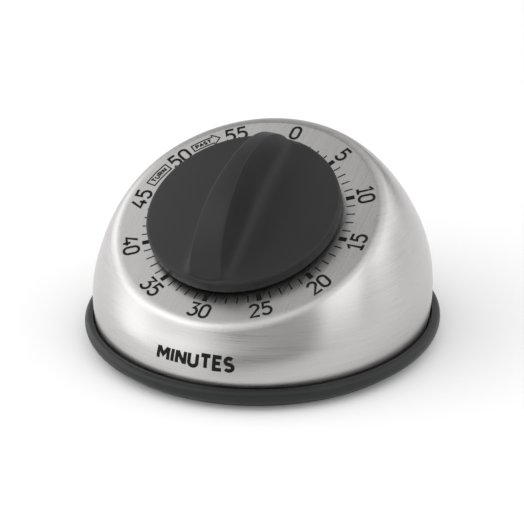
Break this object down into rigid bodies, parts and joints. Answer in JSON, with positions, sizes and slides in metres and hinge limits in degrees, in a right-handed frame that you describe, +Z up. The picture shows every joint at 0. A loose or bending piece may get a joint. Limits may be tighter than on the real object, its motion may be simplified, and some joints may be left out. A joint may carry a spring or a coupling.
{
  "type": "kitchen timer",
  "caption": "Wind-up kitchen timer: brushed steel dome with a slanted sixty-minute dial, a finger-fin knob, a black non-slip base ring, and a spring movement with a bell inside.",
  "frame": {"origin": "centre of the base ring's foot, on the surface that the timer stands on", "axes": "+Z up; the dial leans towards -Y, so -Y is the front; +X is to the right of the dial for someone who reads it"},
  "size_m": [0.108, 0.108, 0.0644],
  "materials": {
    "shell_steel": "fine brushed",
    "ring_rubber": "matte",
    "base_plastic": "moulded, finely textured",
    "knob_plastic": "soft matte",
    "plate_brass": "stamped and grained",
    "wheel_brass": "stamped",
    "hard_steel": "turned",
    "spring_steel": "blued",
    "zinc_steel": "zinc plated",
    "bell_metal": "nickel plated"
  },
  "bodies": {
    "case": {"steel_shell": "shell_steel", "base_ring": "ring_rubber", "base_plate": "base_plastic", "shell_brackets": "zinc_steel", "base_screws": "zinc_steel", "dial_screws": "zinc_steel", "dial_spacers": "zinc_steel", "front_plate": "plate_brass", "back_plate": "plate_brass", "plate_pillars": "zinc_steel", "pillar_screws": "zinc_steel", "front_bush": "wheel_brass", "rear_bush": "wheel_brass", "stop_post": "hard_steel", "spring_post": "hard_steel", "hairspring_stud": "hard_steel", "mainspring": "spring_steel", "hairspring": "spring_steel", "release_spring": "spring_steel", "hammer_spring": "spring_steel", "bell": "bell_metal", "bell_post": "hard_steel", "bell_screw": "zinc_steel"},
    "knob_and_arbor": {"knob": "knob_plastic", "knob_clip": "spring_steel", "main_arbor": "hard_steel", "main_wheel": "wheel_brass", "ratchet_wheel": "hard_steel", "click_rivet": "hard_steel", "click_spring": "spring_steel", "stop_pin": "hard_steel", "strike_cam": "wheel_brass"},
    "click": {"click": "hard_steel"},
    "second_assembly": {"second_arbor": "hard_steel", "second_wheel": "wheel_brass"},
    "third_assembly": {"third_arbor": "hard_steel", "third_wheel": "wheel_brass"},
    "escape_assembly": {"escape_arbor": "hard_steel", "escape_wheel": "wheel_brass"},
    "pallet": {"pallet_arbor": "hard_steel", "pallet_lever": "hard_steel"},
    "balance": {"balance_staff": "hard_steel", "balance_wheel": "wheel_brass", "roller": "hard_steel"},
    "release": {"release_arbor": "hard_steel", "release_lever": "hard_steel"},
    "hammer": {"hammer_arbor": "hard_steel", "hammer_tail": "hard_steel", "hammer_arm": "hard_steel", "hammer_head": "wheel_brass"}
  },
  "joints": [
    {"name": "knob_turn", "type": "hinge", "parent": "case", "child": "knob_and_arbor", "pos_m": [0, -0.0082, 0.0402], "axis": [0, 0.4115, -0.9114], "range_deg": [0, 345], "deforming": ["mainspring"]},
    {"name": "click_lift", "type": "hinge", "parent": "knob_and_arbor", "child": "click", "pos_m": [0.00142, -0.01251, 0.0252], "axis": [0, -0.4115, 0.9114], "range_deg": [0, 10], "stiffness_Nm_per_rad": 0.0005, "deforming": ["click_spring"]},
    {"name": "second_spin", "type": "hinge", "parent": "case", "child": "second_assembly", "pos_m": [-0.01455, 0.00448, 0.03254], "axis": [0, 0.4115, -0.9114], "range_deg": [-2071, 1]},
    {"name": "third_spin", "type": "hinge", "parent": "case", "child": "third_assembly", "pos_m": [-0.00604, 0.01111, 0.03553], "axis": [0, 0.4115, -0.9114], "range_deg": [-1, 12421]},
    {"name": "escape_spin", "type": "hinge", "parent": "case", "child": "escape_assembly", "pos_m": [0.00353, 0.01179, 0.03584], "axis": [0, 0.4115, -0.9114], "range_deg": [-62101, 1]},
    {"name": "pallet_rock", "type": "hinge", "parent": "case", "child": "pallet", "pos_m": [0.01124, 0.01435, 0.03699], "axis": [0, -0.4115, 0.9114], "range_deg": [-4, 4]},
    {"name": "balance_swing", "type": "hinge", "parent": "case", "child": "balance", "pos_m": [0.01903, 0.00491, 0.03273], "axis": [0, -0.4115, 0.9114], "range_deg": [-140, 140], "stiffness_Nm_per_rad": 0.00001, "deforming": ["hairspring"]},
    {"name": "release_lift", "type": "hinge", "parent": "case", "child": "release", "pos_m": [0.01, -0.01897, 0.02195], "axis": [0, -0.4115, 0.9114], "range_deg": [0, 8], "stiffness_Nm_per_rad": 0.0005, "deforming": ["release_spring"]},
    {"name": "hammer_swing", "type": "hinge", "parent": "case", "child": "hammer", "pos_m": [-0.01377, -0.0211, 0.02099], "axis": [0, 0.4115, -0.9114], "range_deg": [-12, 1.4], "stiffness_Nm_per_rad": 0.002, "deforming": ["hammer_spring"]}
  ],
  "couplings": [
    {"joint": "second_spin", "follows": "knob_turn", "ratio": -6},
    {"joint": "third_spin", "follows": "knob_turn", "ratio": 36},
    {"joint": "escape_spin", "follows": "knob_turn", "ratio": -180}
  ]
}
